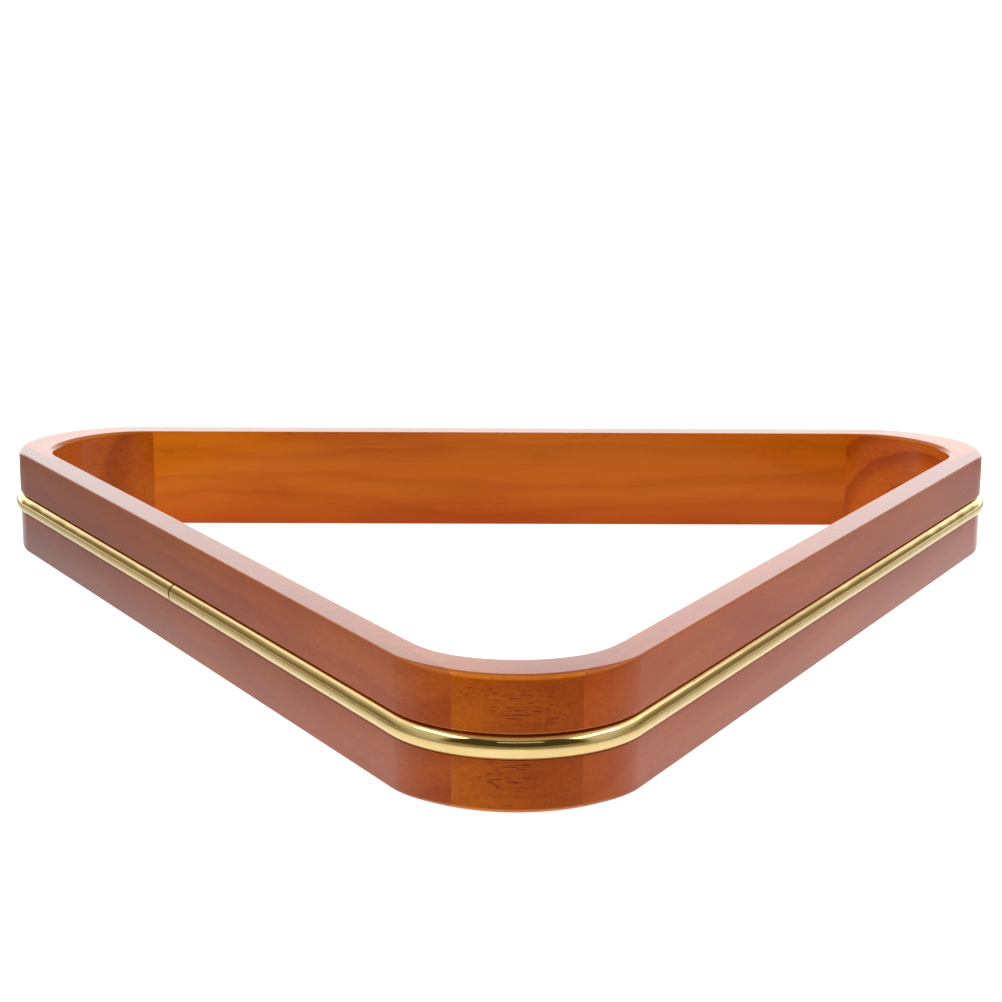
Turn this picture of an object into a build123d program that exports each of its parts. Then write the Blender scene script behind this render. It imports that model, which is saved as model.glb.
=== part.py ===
"""Billiard triangle rack: three straight rails, three rounded corner blocks and an inlaid brass bead.

Millimetres, +Z up. The origin is the middle of the overall box in plan, at the bottom face.
The back rail is at +Y, and the nose, the corner at the head of the rack, points at -Y.
Each corner block has a thin leaf at each side, glued into a rebate on the inside of a rail's end.
"""
import os
from math import cos, radians, sin, sqrt

from build123d import *

# Driving dimensions
ball_diameter = 57.15        # 2 1/4 inch pool ball
rows = 5                     # rows of balls, so also the balls along each rail
play = 1.0                   # room between the packed balls and each rail
wall = 8.35                  # thickness of a rail
height = 31.75               # 1 1/4 inch
inner_corner_radius = 28.6   # a corner ball sits snugly in its corner
outer_corner_radius = 32.3
edge_radius = 0.8            # sanded edges, top and bottom, inside and outside

lap_depth = 3.0              # thickness of a corner block's leaf, and depth of the rail's rebate
lap_shoulder = 48.6          # the rebate ends this far from the sharp inner corner

bead_radius = 3.0            # half-round brass strip, 6 mm wide
bead_proud = 1.4             # how far the strip stands out of the wood
bead_middle = 15.1           # height of the strip's middle
groove_play = 0.1            # room above and below the strip in its groove
bead_gap = 0.5               # gap where the two ends of the strip meet
bead_joint = -2.7            # the gap's place from the left rail's middle, positive towards the nose

# Sizes worked out from them
packed_side = ball_diameter * (rows - 1 + sqrt(3))        # sharp triangle drawn tightly round the balls
inner_inradius = packed_side / (2 * sqrt(3)) + play       # rack's centre to an inner face
outer_inradius = inner_inradius + wall                    # rack's centre to an outer face
nose_reach = 2 * outer_inradius - outer_corner_radius     # rack's centre to the nose
centre_y = (nose_reach - outer_inradius) / 2              # sets the origin midway from front to back

bead_inset = bead_radius - bead_proud                     # depth of the groove, and of the strip's back
groove_inradius = outer_inradius - bead_inset             # rack's centre to the groove's floor
groove_corner_radius = outer_corner_radius - bead_inset
groove_height = 2 * (bead_radius + groove_play)

side = radians(30)                                        # angle of a rail from its corner's axis
rack_plane = Plane(origin=(0, centre_y, 0))
groove_plane = rack_plane.offset(bead_middle - groove_height / 2)


def rounded_triangle(inradius, radius):
    """Equilateral triangle round the rack's centre, nose towards -Y, with rounded corners."""
    with BuildSketch() as outline:
        RegularPolygon(inradius, 3, major_radius=False, rotation=-90)
        fillet(outline.vertices(), radius)
    return outline.sketch


def beside_nose(along, depth):
    """Point along the right rail from the nose's sharp inner corner, this deep in the wood."""
    x = along * sin(side) + depth * cos(side)
    y = along * cos(side) - depth * sin(side) - 2 * inner_inradius
    return (x, y)


def save(part, name):
    """Label a finished sub-part and write it to its own file."""
    part.label = name
    export_step(part, f"parts/{name}.step")


os.makedirs("parts", exist_ok=True)

# The wooden ring before it is parted: rails and corners in one, edges sanded, groove run round it
with BuildPart() as ring:
    with BuildSketch(rack_plane):
        add(rounded_triangle(outer_inradius, outer_corner_radius))
        add(rounded_triangle(inner_inradius, inner_corner_radius), mode=Mode.SUBTRACT)
    extrude(amount=height)
    fillet(ring.faces().filter_by(Axis.Z).edges(), edge_radius)
    with BuildSketch(groove_plane):
        add(rounded_triangle(outer_inradius + wall, outer_corner_radius + wall))
        add(rounded_triangle(groove_inradius, groove_corner_radius), mode=Mode.SUBTRACT)
    extrude(amount=groove_height, mode=Mode.SUBTRACT)

# Plan of what belongs to the block at the nose: up to the lap's faces and its square shoulders
with BuildSketch() as corner_plan:
    with BuildLine():
        Polyline(
            (0, -2 * (inner_inradius + lap_depth)),
            beside_nose(lap_shoulder, lap_depth),
            beside_nose(lap_shoulder, -wall),
            (0, beside_nose(lap_shoulder, -wall)[1]),
        )
        mirror(about=Plane.YZ)
    make_face()

# Plan of what belongs to the right rail: its third of the rack, less the blocks at its two ends
with BuildSketch() as rail_plan:
    with BuildLine():
        Polyline(
            (0, 0),
            (0, -2 * outer_inradius),
            (sqrt(3) * outer_inradius, outer_inradius),
            close=True,
        )
    make_face()
    add(corner_plan.sketch, mode=Mode.SUBTRACT)
    add(corner_plan.sketch, rotation=120, mode=Mode.SUBTRACT)

# Rails and corner blocks, each turned round the rack from its place at the nose
for place, turn in (("right", 0), ("back", 120), ("left", 240)):
    with BuildPart() as rail:
        add(ring.part)
        with BuildSketch(rack_plane.rotated((0, 0, turn))):
            add(rail_plan.sketch)
        extrude(amount=height, mode=Mode.INTERSECT)
    save(rail.part, f"rail_{place}")

for place, turn in (("front", 0), ("right", 120), ("left", 240)):
    with BuildPart() as corner:
        add(ring.part)
        with BuildSketch(rack_plane.rotated((0, 0, turn))):
            add(corner_plan.sketch)
        extrude(amount=height, mode=Mode.INTERSECT)
    save(corner.part, f"corner_{place}")


def on_left_rail(along):
    """Point on the groove's floor, this far from the left rail's middle towards the nose."""
    x = along * sin(side) - groove_inradius * cos(side)
    y = -along * cos(side) - groove_inradius * sin(side)
    return (x, y)


# Half-round brass strip bent round the rack in its groove, its ends meeting on the left rail
with BuildPart() as brass_bead:
    with BuildLine(rack_plane.offset(bead_middle)) as strip_line:
        FilletPolyline(
            on_left_rail(bead_joint + bead_gap / 2),
            (0, -2 * groove_inradius),
            (sqrt(3) * groove_inradius, groove_inradius),
            (-sqrt(3) * groove_inradius, groove_inradius),
            on_left_rail(bead_joint - bead_gap / 2),
            radius=groove_corner_radius,
        )
    with BuildSketch(Plane(origin=strip_line.line @ 0, x_dir=(0, 0, 1), z_dir=strip_line.line % 0)):
        Circle(bead_radius)
        split(bisect_by=Plane.XZ, keep=Keep.BOTTOM)
    sweep(path=strip_line.line)
save(brass_bead.part, "brass_bead")
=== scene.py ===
"""Looks of the billiard triangle rack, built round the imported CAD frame. Metres, +Z up, nose at -Y."""

from math import cos, pi, radians, sin, sqrt, tan

import bpy
from mathutils import Matrix, Quaternion, Vector


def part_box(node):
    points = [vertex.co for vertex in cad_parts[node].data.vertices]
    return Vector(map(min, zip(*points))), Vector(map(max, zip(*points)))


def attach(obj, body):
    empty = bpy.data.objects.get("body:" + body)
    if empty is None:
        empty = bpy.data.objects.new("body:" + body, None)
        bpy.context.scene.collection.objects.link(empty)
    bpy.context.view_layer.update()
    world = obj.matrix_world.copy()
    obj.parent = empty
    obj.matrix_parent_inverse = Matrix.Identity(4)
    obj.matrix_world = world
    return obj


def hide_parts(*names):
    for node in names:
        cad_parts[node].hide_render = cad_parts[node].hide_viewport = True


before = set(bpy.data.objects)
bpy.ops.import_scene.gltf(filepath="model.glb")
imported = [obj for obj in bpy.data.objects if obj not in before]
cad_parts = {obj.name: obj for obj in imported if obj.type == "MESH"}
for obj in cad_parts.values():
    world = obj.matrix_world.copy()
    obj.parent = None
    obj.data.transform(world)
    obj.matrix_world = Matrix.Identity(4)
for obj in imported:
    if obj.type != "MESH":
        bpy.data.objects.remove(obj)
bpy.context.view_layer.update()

# ---------------------------------------------------------------- sizes in metres
# The radii, wall, laps, inset, gap and joint are the CAD's own. The edges' roundings, the plays, the seat and
# the filed ends are the looks' own, and differ from the CAD by less than a millimetre.
MM = 0.001
OUTER_RADIUS = 32.3 * MM
INNER_RADIUS = 28.6 * MM
WALL = 8.35 * MM
RAIL_EDGE = 0.4 * MM       # rounding of the arrises along the rails
CORNER_EDGE = 1.5 * MM     # and round the corners, which are sanded more
LAP_DEPTH = 3.0 * MM
LAP_SHOULDER = 48.6 * MM
BEAD_RADIUS = 3.0 * MM
BEAD_INSET = 1.6 * MM
GROOVE_PLAY = 0.2 * MM     # above the bead
UPPER_LIP = 0.5 * MM       # how far the groove's upper edge is rounded over
LOWER_LIP = 0.15 * MM
BEAD_SEAT = 2.66 * MM      # from the bead's middle down to the flat it sits on
SEAT_PLAY = 0.03 * MM
BEAD_GAP = 0.5 * MM
BEAD_JOINT = 2.7 * MM      # from the left rail's middle, away from the nose
FILED = 0.12 * MM          # how far the bead's two ends are filed back

ARC_STEPS = 64             # stations round one corner
EDGE_STEPS = 7             # steps round one rounded edge
LIP_STEPS = 4              # steps round one edge of the groove
BEAD_STEPS = 36            # steps round the bead's half circle
BEAD_STATIONS = 60         # stations along one straight of the bead
CREASE = radians(32)       # sharper folds than this are shaded as edges

NOSE, RIGHT, LEFT = 0, 120, 240                   # turns about the rack's middle, in degrees
BACK_FACES, RIGHT_FACES, LEFT_FACES = 90, -30, 210   # the way each side faces, in degrees from +X

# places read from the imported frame
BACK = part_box("rail_back")[1].y
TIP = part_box("corner_front")[0].y
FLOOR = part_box("rail_back")[0].z
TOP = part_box("rail_back")[1].z
BEAD_Z = (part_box("brass_bead")[0].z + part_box("brass_bead")[1].z) / 2
OUTER = (BACK - TIP + OUTER_RADIUS) / 3           # from the rack's middle to a side's outer face
INNER = OUTER - WALL                              # and to its inner face
CENTRE = Vector((0, BACK - OUTER, 0))             # the middle, where the corners' axes meet


# ---------------------------------------------------------------- outline of the rack
def heading(angle):
    """A unit vector in plan, angle in radians from +X."""
    return Vector((cos(angle), sin(angle), 0))


def arc_station(corner, offset):
    """(outer point, inner point, outward normal) on a corner's round, offset in radians from its axis."""
    axis = heading(radians(corner - 90))
    normal = heading(radians(corner - 90) + offset)
    outer = CENTRE + axis * 2 * (OUTER - OUTER_RADIUS) + normal * OUTER_RADIUS
    inner = CENTRE + axis * 2 * (INNER - INNER_RADIUS) + normal * INNER_RADIUS
    return outer, inner, normal


def round_corner(corner):
    """The stations of one corner's round, anticlockwise."""
    half = pi / 3
    return [arc_station(corner, half * (2 * i / ARC_STEPS - 1)) for i in range(ARC_STEPS + 1)]


def between(a, b, shares):
    """Stations on the straight run from station a to station b, at the given shares of its length."""
    return [(a[0].lerp(b[0], t), a[1].lerp(b[1], t), a[2]) for t in shares]


def mesh_object(name, points, faces):
    mesh = bpy.data.meshes.new(name)
    mesh.from_pydata([tuple(p) for p in points], [], faces)
    mesh.validate()
    obj = bpy.data.objects.new(name, mesh)
    bpy.context.scene.collection.objects.link(obj)
    return obj


def sweep(name, stations, profiles, closed):
    """A tube through the stations, each with its profile: [(on the outer side, depth into the wood, z)]."""
    points = []
    for (outer, inner, normal), profile in zip(stations, profiles):
        for on_outer, depth, z in profile:
            place = outer - normal * depth if on_outer else inner + normal * depth
            points.append(Vector((place.x, place.y, z)))
    n, count = len(profiles[0]), len(stations)
    faces = []
    for i in range(count if closed else count - 1):
        a, b = i * n, (i + 1) % count * n
        faces += [(a + j, b + j, b + (j + 1) % n, a + (j + 1) % n) for j in range(n)]
    if not closed:
        faces.append(tuple(range(n)))
        faces.append(tuple(reversed(range((count - 1) * n, count * n))))
    return mesh_object(name, points, faces)


def edge_round(on_outer, z_edge, radius, rising, up):
    """The points of one rounded edge. rising: the wall comes before the flat. up: it is a top edge."""
    points = []
    for i in range(EDGE_STEPS + 1):
        t = pi / 2 * (i / EDGE_STEPS if rising else 1 - i / EDGE_STEPS)
        height = radius * (1 - sin(t))
        z = z_edge - height if up else z_edge + height
        points.append((on_outer, radius * (1 - cos(t)), z))
    return points


def lip(z, radius, up):
    """One rounded edge of the groove, from the groove's wall out to the face, up for the upper one."""
    points = []
    for i in range(LIP_STEPS + 1):
        t = pi / 2 * i / LIP_STEPS
        height = radius * (1 - cos(t))
        points.append((True, radius * (1 - sin(t)), z + height if up else z - height))
    return points


def wood_profile(edge):
    """The wood's cross-section from the outer bottom edge round: four rounded edges and the groove."""
    low, high = BEAD_Z - BEAD_SEAT - SEAT_PLAY, BEAD_Z + BEAD_RADIUS + GROOVE_PLAY
    profile = edge_round(True, FLOOR, edge, rising=False, up=False)
    profile += reversed(lip(low, LOWER_LIP, up=False))
    profile += [(True, BEAD_INSET, low), (True, BEAD_INSET, high)]
    profile += lip(high, UPPER_LIP, up=True)
    profile += edge_round(True, TOP, edge, rising=True, up=True)
    profile += edge_round(False, TOP, edge, rising=False, up=True)
    profile += edge_round(False, FLOOR, edge, rising=True, up=False)
    return profile


def corner_profiles():
    """The wood's cross-section at each station of one corner, softest in the middle of its round."""
    profiles = []
    for i in range(ARC_STEPS + 1):
        share = min(1.0, 2 * (1 - abs(2 * i / ARC_STEPS - 1)))
        share *= share * (3 - 2 * share)      # eased at both ends
        profiles.append(wood_profile(RAIL_EDGE + (CORNER_EDGE - RAIL_EDGE) * share))
    return profiles


# ---------------------------------------------------------------- the seven pieces
def turned(points, degrees):
    """Plan points, given about the rack's middle, turned about it and put in the row frame."""
    turn = Matrix.Rotation(radians(degrees), 3, "Z")
    return [CENTRE + turn @ Vector((x, y, 0)) for x, y in points]


def beside_nose(along, depth):
    """A plan point, measured from the nose's sharp inner corner: along the right rail, and into its wood."""
    x = along * sin(pi / 6) + depth * cos(pi / 6)
    y = along * cos(pi / 6) - depth * sin(pi / 6) - 2 * INNER
    return x, y


def prism(outline):
    """A cutter with this outline in plan, taller than the rack."""
    low, high = FLOOR - WALL, TOP + WALL
    n = len(outline)
    points = [Vector((p.x, p.y, z)) for z in (low, high) for p in outline]
    faces = [tuple(reversed(range(n))), tuple(range(n, 2 * n))]
    faces += [(i, (i + 1) % n, n + (i + 1) % n, n + i) for i in range(n)]
    return mesh_object("cutter", points, faces)


def corner_outline():
    """One corner block in plan: its tip, and its two leaves as far as their shoulders."""
    tip = (0, -2 * (INNER + LAP_DEPTH))
    right = [beside_nose(LAP_SHOULDER, LAP_DEPTH), beside_nose(LAP_SHOULDER, -WALL)]
    left = [(-x, y) for x, y in reversed(right)]
    return [tip] + right + left


def rail_outline():
    """One rail in plan: the full wall between the shoulders, and only its outside over the leaves."""
    length = 2 * sqrt(3) * INNER
    far = 4 * WALL
    a, b = LAP_SHOULDER, length - LAP_SHOULDER
    places = [(-far, far), (-far, LAP_DEPTH), (a, LAP_DEPTH), (a, -WALL)]
    places += [(b, -WALL), (b, LAP_DEPTH), (length + far, LAP_DEPTH), (length + far, far)]
    return [beside_nose(along, depth) for along, depth in places]


def cut_piece(name, ring, outline, degrees):
    """The part of the ring inside the outline, as a piece that stands for the CAD node of the same name."""
    cutter = prism(turned(outline, degrees))
    piece = bpy.data.objects.new(name + "_wood", ring.data.copy())
    bpy.context.scene.collection.objects.link(piece)
    boolean = piece.modifiers.new("cut", "BOOLEAN")
    boolean.operation = "INTERSECT"
    boolean.solver = "EXACT"
    boolean.object = cutter
    bpy.context.view_layer.update()
    cut = bpy.data.meshes.new_from_object(piece.evaluated_get(bpy.context.evaluated_depsgraph_get()))
    piece.modifiers.clear()
    piece.data = cut
    cut.name = piece.name
    bpy.data.objects.remove(cutter)
    finish_shading(piece)
    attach(piece, "root")
    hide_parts(name)
    return piece


def finish_shading(piece):
    """Smooth over the rounds, crisp at the seams, with the flats' own normals kept flat."""
    piece.data.shade_smooth()
    piece.data.set_sharp_from_angle(angle=CREASE)
    weighted = piece.modifiers.new("flat faces", "WEIGHTED_NORMAL")
    weighted.keep_sharp = True
    weighted.weight = 100


def wooden_pieces():
    """The three corner blocks and the three rails, cut from one ring."""
    stations = round_corner(NOSE) + round_corner(RIGHT) + round_corner(LEFT)
    ring = sweep("ring", stations, 3 * corner_profiles(), closed=True)
    pieces = {}
    for name, turn in (("corner_front", NOSE), ("corner_right", RIGHT), ("corner_left", LEFT)):
        pieces[name] = cut_piece(name, ring, corner_outline(), turn)
    for name, turn in (("rail_right", NOSE), ("rail_back", RIGHT), ("rail_left", LEFT)):
        pieces[name] = cut_piece(name, ring, rail_outline(), turn)
    bpy.data.objects.remove(ring)
    return pieces


def bead_profile(shrink):
    """The half-round strip, its back on the groove's floor and its foot cut flat where it sits in the groove.

    shrink draws it in at a filed end.
    """
    points = []
    for i in range(BEAD_STEPS + 1):
        t = pi * (i / BEAD_STEPS - 0.5)
        depth = BEAD_INSET - (BEAD_RADIUS - shrink) * cos(t)
        height = max((BEAD_RADIUS - shrink) * sin(t), shrink - BEAD_SEAT)
        points.append((True, depth, BEAD_Z + height))
    return points


def bead_stations():
    """Stations from the joint on the left rail, anticlockwise past the nose, and back to the joint."""
    nose, right, left = round_corner(NOSE), round_corner(RIGHT), round_corner(LEFT)
    start, end = left[-1], nose[0]
    run = (end[0] - start[0]).length
    joint = 0.5 - BEAD_JOINT / run
    gap, filed = BEAD_GAP / 2 / run, FILED / run
    first = between(start, end, [joint + gap, joint + gap + filed])
    last = between(start, end, [joint - gap - filed, joint - gap])
    steps = [i / BEAD_STATIONS for i in range(1, BEAD_STATIONS)]
    clear = 0.5 / BEAD_STATIONS     # leaves out the station that is closer to the joint than half a step
    from_joint = [t for t in steps if t > joint + clear]
    to_joint = [t for t in steps if t < joint - clear]
    stations = first + between(start, end, from_joint) + nose
    stations += between(nose[-1], right[0], steps) + right
    stations += between(right[-1], left[0], steps) + left
    return stations + between(start, end, to_joint) + last


def bead_piece():
    """The brass strip, one length with its ends filed and butted on the left rail."""
    stations = bead_stations()
    full, end = bead_profile(0), bead_profile(FILED)
    bead = sweep("bead", stations, [end] + [full] * (len(stations) - 2) + [end], closed=False)
    bead.data.shade_smooth()
    bead.data.set_sharp_from_angle(angle=CREASE)
    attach(bead, "root")
    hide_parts("brass_bead")
    return bead


# ---------------------------------------------------------------- node building
class Graph:
    """A short way to write a node tree."""

    def __init__(self, tree):
        self.tree = tree
        self.tree.nodes.clear()

    def node(self, kind, inputs=None, **settings):
        made = self.tree.nodes.new(kind)
        for key, value in settings.items():
            setattr(made, key, value)
        for key, value in (inputs or {}).items():
            self.put(made.inputs[key], value)
        return made

    def put(self, socket, value):
        if isinstance(value, bpy.types.NodeSocket):
            self.tree.links.new(value, socket)
        else:
            socket.default_value = value

    def math(self, operation, a, b=0.0):
        return self.node("ShaderNodeMath", {0: a, 1: b}, operation=operation).outputs[0]

    def span(self, value, low, high, to_low=0.0, to_high=1.0):
        """The value eased from one range to another, held at the ends."""
        inputs = {"Value": value, "From Min": low, "From Max": high, "To Min": to_low, "To Max": to_high}
        return self.node("ShaderNodeMapRange", inputs, interpolation_type="SMOOTHSTEP").outputs["Result"]

    def vector(self, operation, a, b=(0, 0, 0)):
        made = self.node("ShaderNodeVectorMath", {0: a, 1: b}, operation=operation)
        return made.outputs["Value" if operation in ("LENGTH", "DOT_PRODUCT") else "Vector"]

    def split(self, vector):
        return self.node("ShaderNodeSeparateXYZ", {0: vector}).outputs

    def place(self, vector, location=(0, 0, 0), rotation=(0, 0, 0), scale=(1, 1, 1)):
        inputs = {"Vector": vector, "Location": location, "Rotation": rotation, "Scale": scale}
        return self.node("ShaderNodeMapping", inputs, vector_type="POINT").outputs[0]

    def noise(self, vector, scale=1.0, detail=2.0, roughness=0.5):
        """Noise over the vector. scale is one number, or three for noise drawn out along an axis."""
        if isinstance(scale, tuple):
            vector, scale = self.place(vector, scale=scale), 1.0
        inputs = {"Vector": vector, "Scale": scale, "Detail": detail, "Roughness": roughness}
        return self.node("ShaderNodeTexNoise", inputs).outputs["Fac"]

    def blend(self, factor, a, b):
        """The number a where factor is 0, and b where it is 1."""
        return self.node("ShaderNodeMix", {"Factor": factor, 2: a, 3: b}).outputs[0]

    def mix(self, factor, a, b, blend="MIX"):
        made = self.node("ShaderNodeMix", {"Factor": factor}, data_type="RGBA", blend_type=blend)
        self.put(made.inputs[6], a)
        self.put(made.inputs[7], b)
        return made.outputs[2]

    def tint(self, factor, colour, multiplier):
        """The colour multiplied by another where factor is 1, and unchanged where it is 0."""
        return self.mix(factor, colour, rgb(*multiplier), "MULTIPLY")

    def bump(self, height, distance):
        return self.node("ShaderNodeBump", {"Height": height, "Distance": distance}).outputs[0]


def rgb(r, g, b):
    return r, g, b, 1.0


def new_material(name, build, *details):
    """A material whose surface is the shader that build(graph, *details) makes."""
    material = bpy.data.materials.new(name)
    material.use_nodes = True
    graph = Graph(material.node_tree)
    shader = build(graph, *details)
    graph.node("ShaderNodeOutputMaterial", {"Surface": shader.outputs[0]})
    return material


# ---------------------------------------------------------------- wood
RING_TINT = (0.62, 0.46, 0.4)       # what each mark multiplies the stain by, where it is full
FIBRE_TINT = (0.6, 0.45, 0.4)
SPECKLE_TINT = (0.86, 0.74, 0.4)
PORE_TINT = (0.5, 0.33, 0.35)
# the foot's tint is painted shade, not a mark of the wood
FOOT_SHADE_TINT = (0.85, 0.56, 0.5)
SEED_STEP = 311.0                   # mm along the noises from one board's stretch to the next
PORE_DEPTH = 0.05 * MM
LACQUER_RIPPLE = 0.02 * MM


def board_coordinates(graph, look):
    """Millimetres in a board's own frame: x along its grain, y through its thickness, z up."""
    turn = radians(-look["grain"])
    middle = Matrix.Rotation(turn, 3, "Z") @ (CENTRE / MM)
    coordinates = graph.node("ShaderNodeTexCoord").outputs["Object"]
    return graph.place(coordinates, location=-middle, rotation=(0, 0, turn), scale=(1 / MM,) * 3)


def late_wood(graph, board, look):
    """0 to 1 through each year's growth, darkest at its end. The rings wander, and lean to the board."""
    lean = tuple(radians(a) for a in look["lean"])
    from_pith = graph.vector("SUBTRACT", graph.place(board, rotation=lean), (0, *look["pith"]))
    radius = graph.vector("LENGTH", graph.vector("MULTIPLY", from_pith, (0, 1, 1)))
    wander = graph.noise(board, (0.012, 0.05, 0.05))
    ripple = graph.noise(board, (0.03, 0.14, 0.14), detail=3.0)
    radius = graph.math("ADD", radius, graph.math("MULTIPLY", wander, look["wander"]))
    radius = graph.math("ADD", radius, graph.math("MULTIPLY", ripple, look["ripple"]))
    phase = graph.math("FRACT", graph.math("DIVIDE", radius, look["ring"]))
    return graph.math("MULTIPLY", graph.span(phase, 0.35, 0.85), graph.span(phase, 0.85, 1.0, 1.0, 0.0))


def pore_map(graph, board, seeded, look):
    """1 in the short dark pores, which lie along the grain, in patches and in the board's one cluster."""
    x, z, half_x, half_z = look["pore_cluster"]
    from_cluster = graph.vector("SUBTRACT", board, (x, 0, z))
    from_cluster = graph.place(from_cluster, scale=(1 / half_x, 0, 1 / half_z))
    cluster = graph.span(graph.vector("LENGTH", from_cluster), 0.5, 1.3, 1.0, 0.0)
    patches = graph.span(graph.noise(seeded, (0.06, 0.14, 0.14), detail=1.0), 0.55, 0.7)
    lines = graph.span(graph.noise(seeded, (0.22, 2.8, 2.8), detail=2.0), 0.56, 0.67)
    return graph.math("MULTIPLY", lines, graph.math("MAXIMUM", cluster, patches))


def worn_and_lit_edges(graph, mottle):
    """How far the stain is rubbed off, with a painted highlight on the same rounded edges: most in the middle
    of a rounded edge, and unevenly.
    """
    upright = graph.math("ABSOLUTE", graph.split(graph.node("ShaderNodeNewGeometry").outputs["Normal"])[2])
    edge = graph.math("MULTIPLY", graph.span(upright, 0.1, 0.5), graph.span(upright, 0.75, 0.98, 1.0, 0.0))
    return graph.math("MULTIPLY", edge, graph.span(mottle, 0.3, 0.7, 0.45, 0.75))


def stain(graph, board, cloud, look):
    """The stain's colour. It changes along the board, in clouds and on the inner face, and has painted shade
    at the foot, darker and redder towards the bottom.
    """
    along, across, up = graph.split(board)
    low, high = look["ends"]
    colour = graph.mix(graph.span(along, low, high), rgb(*look["tone"]), rgb(*look["far_tone"]))
    from_middle = graph.math("ABSOLUTE", across)
    inside = graph.span(from_middle, INNER / MM + 0.2, INNER / MM + 1.2, 1.0, 0.0)
    colour = graph.tint(inside, colour, look["inside"])
    colour = graph.tint(graph.span(cloud, 0.35, 0.7), colour, look["cloud"])
    # painted shade: darker and redder towards the bottom, its edge wavering with the clouds
    foot = graph.math("ADD", up, graph.math("MULTIPLY", cloud, 10.0))
    return graph.tint(graph.span(foot, 5.0, 17.0, look["foot"], 0.0), colour, FOOT_SHADE_TINT)


def wood_shader(graph, look):
    """Stained, satin-lacquered wood of a fine even grain."""
    board = board_coordinates(graph, look)
    seeded = graph.vector("ADD", board, (look["seed"] * SEED_STEP, 0, 0))
    # noises, with their waves per millimetre along, across and up the board
    cloud = graph.noise(seeded, (0.018, 0.055, 0.055), detail=3.0)
    fibre = graph.noise(seeded, (0.025, 0.9, 0.9), detail=4.0, roughness=0.6)
    fine = graph.noise(seeded, (0.12, 3.5, 3.5), detail=3.0, roughness=0.6)
    mottle = graph.noise(seeded, 0.8, detail=4.0, roughness=0.7)
    speckle = graph.noise(seeded, 2.2, detail=2.0, roughness=0.6)
    pores = pore_map(graph, board, seeded, look)

    colour = stain(graph, board, cloud, look)
    rings = graph.math("MULTIPLY", late_wood(graph, board, look), look["figure"])
    colour = graph.tint(rings, colour, RING_TINT)
    colour = graph.tint(graph.span(fibre, 0.4, 0.75, 0.0, look["streak"]), colour, FIBRE_TINT)
    colour = graph.tint(graph.span(mottle, 0.35, 0.68), colour, look["mottle"])
    colour = graph.tint(graph.span(speckle, 0.3, 0.7, 0.0, look["speckle"]), colour, SPECKLE_TINT)
    colour = graph.tint(graph.math("MULTIPLY", pores, look["pores"]), colour, PORE_TINT)
    # the rounded edges lightened, partly as rubbed wear and partly as a painted highlight
    colour = graph.mix(worn_and_lit_edges(graph, mottle), colour, rgb(*look["edge_wear_and_highlight"]))

    relief = graph.math("SUBTRACT", graph.math("MULTIPLY", fine, 0.4), pores)
    lacquer = graph.noise(seeded, 0.3)
    facing = graph.node("ShaderNodeLayerWeight", {"Blend": 0.5}).outputs["Facing"]
    inputs = {
        "Base Color": colour,
        "Roughness": graph.span(mottle, 0.3, 0.7, 0.42, 0.55),
        "Normal": graph.bump(relief, PORE_DEPTH),
        "Specular IOR Level": 0.0,
        "Coat Weight": graph.span(facing, 0.0, 0.6, 0.2, 1.0),
        "Coat Roughness": 0.12,
        "Coat IOR": 1.5,
        "Coat Normal": graph.bump(lacquer, LACQUER_RIPPLE),
    }
    return graph.node("ShaderNodeBsdfPrincipled", inputs)


# How each board looks. Lengths are in mm in the board's own frame, and colours are linear.
#   grain: the way it runs in plan, in degrees. seed: which stretch of the noises it has.
#   lean: how the pith leans, in degrees. pith: its y and z. ring: one year's growth.
#   wander, ripple: the long and short waves of the rings.
#   figure, streak, pores, speckle, foot: how strong the rings, fibres, pores, specks and the painted shade at
#       the foot are.
#   tone, far_tone: the stain at the two places along the board that ends gives, or tone all along it.
#   inside: the inner face's tint. cloud, mottle: the tints of its large and small darker patches.
#   pore_cluster: its middle's x and z, then half its width and height. PLAIN's lies off the wood.
#   edge_wear_and_highlight: the colour of the rounded edges, partly rubbed wear and partly a painted
#       highlight.
PLAIN = dict(
    lean=(0, 1.5, 2.0), wander=18, ripple=2.5, streak=0.3, pores=0.35, speckle=0.5, foot=0.0,
    ends=(-120, 120), cloud=(0.88, 0.74, 0.7), mottle=(0.92, 0.88, 0.85), pore_cluster=(0, -50, 1, 1),
    edge_wear_and_highlight=(0.46, 0.125, 0.012), inside=(1.0, 1.0, 1.0),
)
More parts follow.
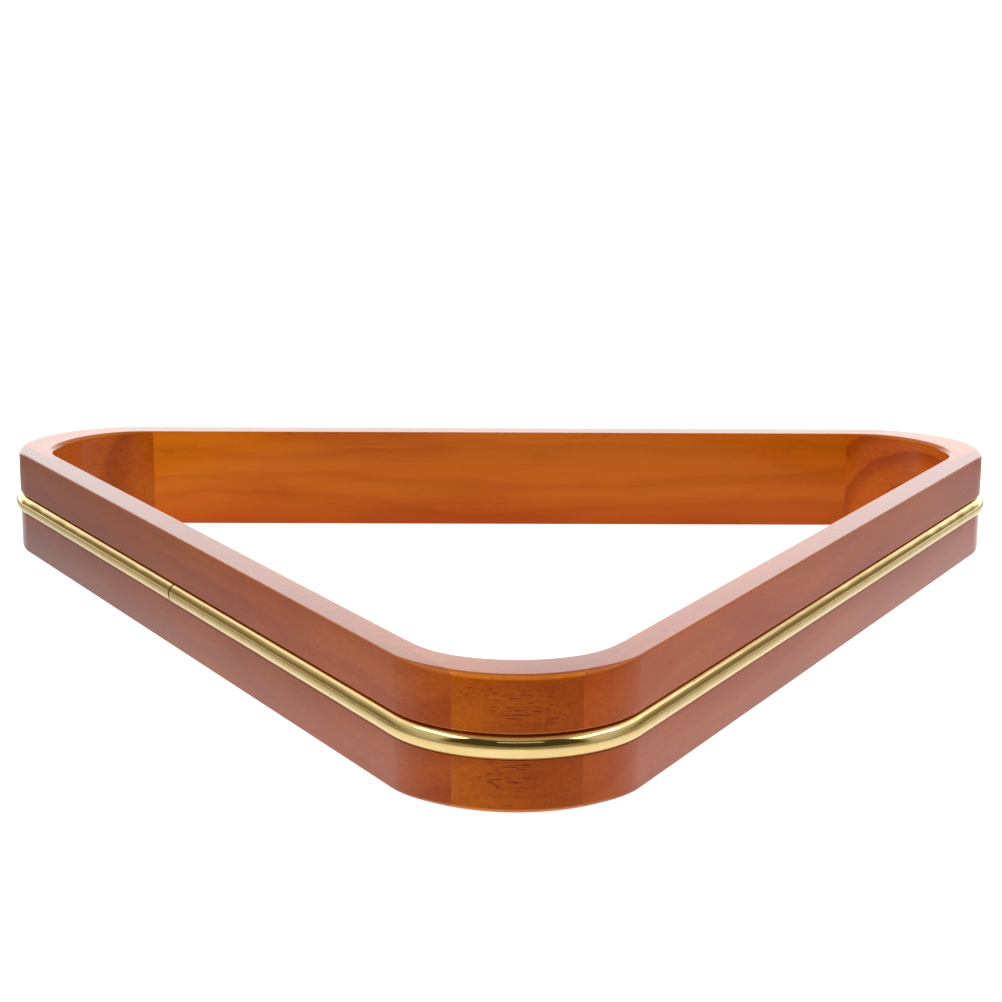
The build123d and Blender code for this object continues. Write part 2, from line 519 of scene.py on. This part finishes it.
WOODS = {
    "rail_back": dict(
        grain=0, seed=1, pith=(30, -70), ring=7.5,
        tone=(0.395, 0.082, 0.0045), far_tone=(0.295, 0.053, 0.0025), ends=(-140, -40),
        figure=0.24, ripple=1.8, streak=0.1, pores=0.15, speckle=0.1, foot=0.8,
        mottle=(0.98, 0.97, 0.95), inside=(1.74, 2.25, 1.8),
    ),
    "rail_left": dict(
        grain=120, seed=2, pith=(60, -20), ring=9.0,
        tone=(0.38, 0.076, 0.004), far_tone=(0.22, 0.036, 0.002),
        figure=0.25, streak=0.2, inside=(1.7, 2.2, 1.6),
    ),
    "rail_right": dict(
        grain=60, seed=3, pith=(-50, 90), ring=9.0,
        tone=(0.41, 0.079, 0.005), far_tone=(0.34, 0.058, 0.003),
        figure=0.2, streak=0.15, pores=0.2, inside=(1.5, 1.9, 1.4),
    ),
    "corner_front": dict(
        grain=0, seed=4, pith=(-90, 60), ring=7.0,
        tone=(0.46, 0.112, 0.002), far_tone=(0.35, 0.071, 0.002), ends=(-14, 8),
        # its rounded edges are painted brightest, a painted highlight band along the nose's top edge
        figure=0.15, pores=0.9, speckle=0.9, pore_cluster=(1, 25, 8, 4.5), edge_wear_and_highlight=(0.66, 0.2, 0.02),
    ),
    "corner_left": dict(
        grain=60, seed=5, pith=(112, 16), ring=13.0, tone=(0.48, 0.105, 0.005),
        figure=0.65, wander=4, ripple=1.5, speckle=0.2,
    ),
    "corner_right": dict(
        grain=120, seed=6, pith=(-176, 2), ring=8.0, tone=(0.55, 0.112, 0.004),
        figure=0.7, wander=4, ripple=1.0, speckle=0.2,
    ),
}


def dress_wood(pieces):
    """Each board's own material, from PLAIN and whatever WOODS says is different."""
    for name, piece in pieces.items():
        look = {**PLAIN, "far_tone": WOODS[name]["tone"], **WOODS[name]}
        piece.data.materials.clear()
        piece.data.materials.append(new_material(name + "_wood", wood_shader, look))


# ---------------------------------------------------------------- brass
BRIGHT_BRASS = (0.95, 0.72, 0.33)
TARNISHED_BRASS = (0.88, 0.65, 0.27)
DIRT = (0.08, 0.05, 0.02)
WAVE_DEPTH = 0.3 * MM


def joint_place():
    """The middle of the bead's joint, and the way the left rail runs there."""
    along = heading(radians(LEFT_FACES - 90))
    return CENTRE + heading(radians(LEFT_FACES)) * OUTER + along * BEAD_JOINT, along


def joint_dirt(graph, coordinates):
    """1 on the bead's two filed ends, and 0 elsewhere."""
    joint, along = joint_place()
    offset = graph.vector("SUBTRACT", coordinates, tuple(joint))
    from_joint = graph.math("ABSOLUTE", graph.vector("DOT_PRODUCT", offset, tuple(along)))
    # the joint's plane meets the bead again at the right corner, so the rack's right half counts as far away
    right_half = graph.span(graph.split(coordinates)[0], -20 * MM, 0.0)
    distance = graph.math("ADD", from_joint, right_half)
    return graph.span(distance, BEAD_GAP / 2 + 0.02 * MM, BEAD_GAP / 2 + 0.15 * MM, 1.0, 0.0)


def brass_shader(graph):
    """Polished brass, a little wavy and tarnished, with dirt in its joint and a few dark specks."""
    coordinates = graph.node("ShaderNodeTexCoord").outputs["Object"]
    wave = graph.noise(coordinates, 55.0, detail=1.0)
    tarnish = graph.noise(coordinates, 140.0, detail=4.0, roughness=0.6)
    specks = graph.span(graph.noise(coordinates, 1400.0, detail=0.0), 0.83, 0.86)
    dirt = graph.math("MAXIMUM", specks, joint_dirt(graph, coordinates))

    colour = graph.mix(graph.span(tarnish, 0.35, 0.75), rgb(*BRIGHT_BRASS), rgb(*TARNISHED_BRASS))
    inputs = {
        "Base Color": graph.mix(dirt, colour, rgb(*DIRT)),
        "Metallic": 1.0,
        "Roughness": graph.blend(dirt, graph.span(tarnish, 0.3, 0.8, 0.05, 0.11), 0.6),
        "Normal": graph.bump(wave, WAVE_DEPTH),
    }
    return graph.node("ShaderNodeBsdfPrincipled", inputs)


# ---------------------------------------------------------------- studio
FLOOR_REACH = 60.0         # metres, far enough to fill the view to the horizon
CARD_LIFT = 0.1 * MM
SOFTBOX_DISTANCE = 8.0
ABOVE_ONE = 1.0001         # keeps the world's divisor above 0 straight up


def floor_shader(graph):
    """A pale sheet lit from below, like a light table."""
    inputs = {
        "Base Color": rgb(0.38, 0.38, 0.38),
        "Roughness": 0.9,
        "Specular IOR Level": 0.1,
        "Emission Color": rgb(1.0, 0.995, 0.985),
        "Emission Strength": 0.95,
    }
    return graph.node("ShaderNodeBsdfPrincipled", inputs)


def flat_square(name, reach, height):
    corners = [(-reach, -reach), (reach, -reach), (reach, reach), (-reach, reach)]
    return mesh_object(name, [(x, y, height) for x, y in corners], [(0, 1, 2, 3)])


def floor_piece():
    """A plain pale floor, large enough to fill the view to the horizon."""
    floor = flat_square("studio_floor", FLOOR_REACH, FLOOR)
    floor.data.materials.append(new_material("pale_floor", floor_shader))


def warmed(graph, level):
    """A grey of this brightness, warmer as it gets darker."""
    warmth = graph.mix(graph.span(level, 0.1, 0.6), rgb(1.0, 0.8, 0.45), rgb(1.0, 1.0, 1.0))
    return graph.mix(1.0, level, warmth, "MULTIPLY")


def reflected_shader(graph):
    """What the rack's gloss sees of the floor: pools of light that fade away from the rack."""
    place = graph.vector("SUBTRACT", graph.node("ShaderNodeTexCoord").outputs["Object"], tuple(CENTRE))
    x, y, _ = graph.split(place)
    ways = [tuple(heading(radians(faces))) for faces in (BACK_FACES, RIGHT_FACES, LEFT_FACES)]
    back, right, left = [graph.vector("DOT_PRODUCT", place, way) for way in ways]
    farthest = graph.math("MAXIMUM", graph.math("MAXIMUM", back, right), left)
    away = graph.math("SUBTRACT", farthest, OUTER)
    before_nose = graph.span(away, 0.0, 0.12, 1.0, 0.36)
    farther_out = graph.span(away, 0.015, 0.1, 0.66, 0.3)
    beside_rails = graph.span(away, 0.0, 0.02, 1.0, farther_out)
    dimmer_left = graph.span(x, -0.2, -0.02, 0.75, 1.0)
    beside_rails = graph.math("MULTIPLY", beside_rails, dimmer_left)
    back_from_nose = graph.math("SUBTRACT", y, TIP - CENTRE.y)
    beside = graph.math("MULTIPLY", graph.span(away, -0.01, 0.0), graph.span(back_from_nose, 0.01, 0.06))
    pool = graph.blend(beside, before_nose, beside_rails)
    behind = graph.span(y, 0.12, 0.3, 0.0, 1.3)
    level = graph.math("MAXIMUM", pool, behind)
    return graph.node("ShaderNodeEmission", {"Color": warmed(graph, level), "Strength": 1.0})


def reflector_piece():
    """A sheet just over the floor that only reflections see, in place of a photographer's cards."""
    card = flat_square("reflector_card", FLOOR_REACH, FLOOR + CARD_LIFT)
    card.data.materials.append(new_material("reflected_floor", reflected_shader))
    card.visible_camera = False
    card.visible_diffuse = False
    card.visible_shadow = False
    card.visible_transmission = False


def studio_world():
    """A white sweep behind the rack, grey walls beside it, a dim warm room in front and a dark ceiling."""
    world = bpy.data.worlds.new("studio")
    bpy.context.scene.world = world
    world.use_nodes = True
    graph = Graph(world.node_tree)
    _, y, z = graph.split(graph.node("ShaderNodeTexCoord").outputs["Generated"])
    level_part = graph.math("SQRT", graph.math("SUBTRACT", ABOVE_ONE, graph.math("MULTIPLY", z, z)))
    backwards = graph.math("DIVIDE", y, level_part)
    low_walls = graph.span(y, -0.3, 0.45, 0.5, 0.22)
    walls = graph.blend(graph.span(z, 0.2, 0.5), low_walls, 0.6)
    front = graph.span(z, 0.1, 0.35, 0.3, 0.06)
    back = graph.span(z, 0.2, 0.5, 1.95, 0.75)
    ceiling = graph.span(y, -0.1, 0.35, 0.38, 0.11)
    level = graph.blend(graph.span(backwards, -0.62, -0.42), front, walls)
    level = graph.blend(graph.span(y, 0.62, 0.76), level, back)
    level = graph.blend(graph.span(z, 0.86, 0.95), level, ceiling)
    background = graph.node("ShaderNodeBackground", {"Color": warmed(graph, level), "Strength": 1.0})
    graph.node("ShaderNodeOutputWorld", {"Surface": background.outputs[0]})


def softbox(name, azimuth, elevation, spread, rise, tilt, radiance, glossy=True):
    """A far area light that faces the rack. Angles are in degrees, the azimuth from the front towards +X.

    spread and rise are half of the angles that its width and height fill.
    """
    width = 2 * SOFTBOX_DISTANCE * tan(radians(spread))
    height = 2 * SOFTBOX_DISTANCE * tan(radians(rise))
    data = bpy.data.lights.new(name, "AREA")
    data.shape = "RECTANGLE"
    data.size = width
    data.size_y = height
    data.energy = radiance * pi * width * height
    flat = heading(radians(azimuth - 90)) * cos(radians(elevation))
    towards = Vector((flat.x, flat.y, sin(radians(elevation))))
    light = bpy.data.objects.new(name, data)
    light.location = CENTRE + towards * SOFTBOX_DISTANCE
    light.rotation_mode = "QUATERNION"
    light.rotation_quaternion = (-towards).to_track_quat("-Z", "Y") @ Quaternion((0, 0, 1), radians(tilt))
    light.visible_glossy = glossy
    bpy.context.scene.collection.objects.link(light)


def studio_lights():
    """The lights that the bead reflects, and two fills that it doesn't."""
    softbox("key_left", -85, 53, spread=18, rise=6, tilt=12, radiance=2.2)
    softbox("key_right", 85, 48, spread=18, rise=6, tilt=-12, radiance=2.4)
    softbox("fill_left", -122, 40, spread=22, rise=7, tilt=30, radiance=0.4)
    softbox("fill_right", 117, 37, spread=20, rise=7, tilt=-25, radiance=0.7)
    softbox("lamp_front", 5, 52, spread=14, rise=3, tilt=0, radiance=0.7)
    softbox("overhead", 0, 80, spread=30, rise=30, tilt=0, radiance=1.6, glossy=False)
    softbox("front_fill", 0, 35, spread=45, rise=20, tilt=0, radiance=0.45, glossy=False)


# ---------------------------------------------------------------- camera
PITCH = radians(12.936)
YAW = radians(0.883)
ROLL = radians(0.377)
DISTANCE = 639.52 * MM
AIM = CENTRE + Vector((-1.262 * MM, 0, 30.047 * MM))
SENSOR = 36.0              # mm, and so is LENS
LENS = 78.093


def photo_camera():
    """The photograph's view: from the front, a little above, aimed near the top of the rack's middle."""
    forward = Vector((sin(YAW) * cos(PITCH), cos(YAW) * cos(PITCH), -sin(PITCH)))
    data = bpy.data.cameras.new("camera")
    data.sensor_width = SENSOR
    data.lens = LENS
    data.clip_start = 0.01
    data.clip_end = 300.0
    camera = bpy.data.objects.new("camera", data)
    camera.location = AIM - forward * DISTANCE
    camera.rotation_mode = "QUATERNION"
    camera.rotation_quaternion = forward.to_track_quat("-Z", "Y") @ Quaternion((0, 0, 1), ROLL)
    bpy.context.scene.collection.objects.link(camera)
    bpy.context.scene.camera = camera


dress_wood(wooden_pieces())
bead_piece().data.materials.append(new_material("polished_brass", brass_shader))
floor_piece()
reflector_piece()
studio_world()
studio_lights()
photo_camera()
bpy.context.scene.view_settings.view_transform = "Standard"
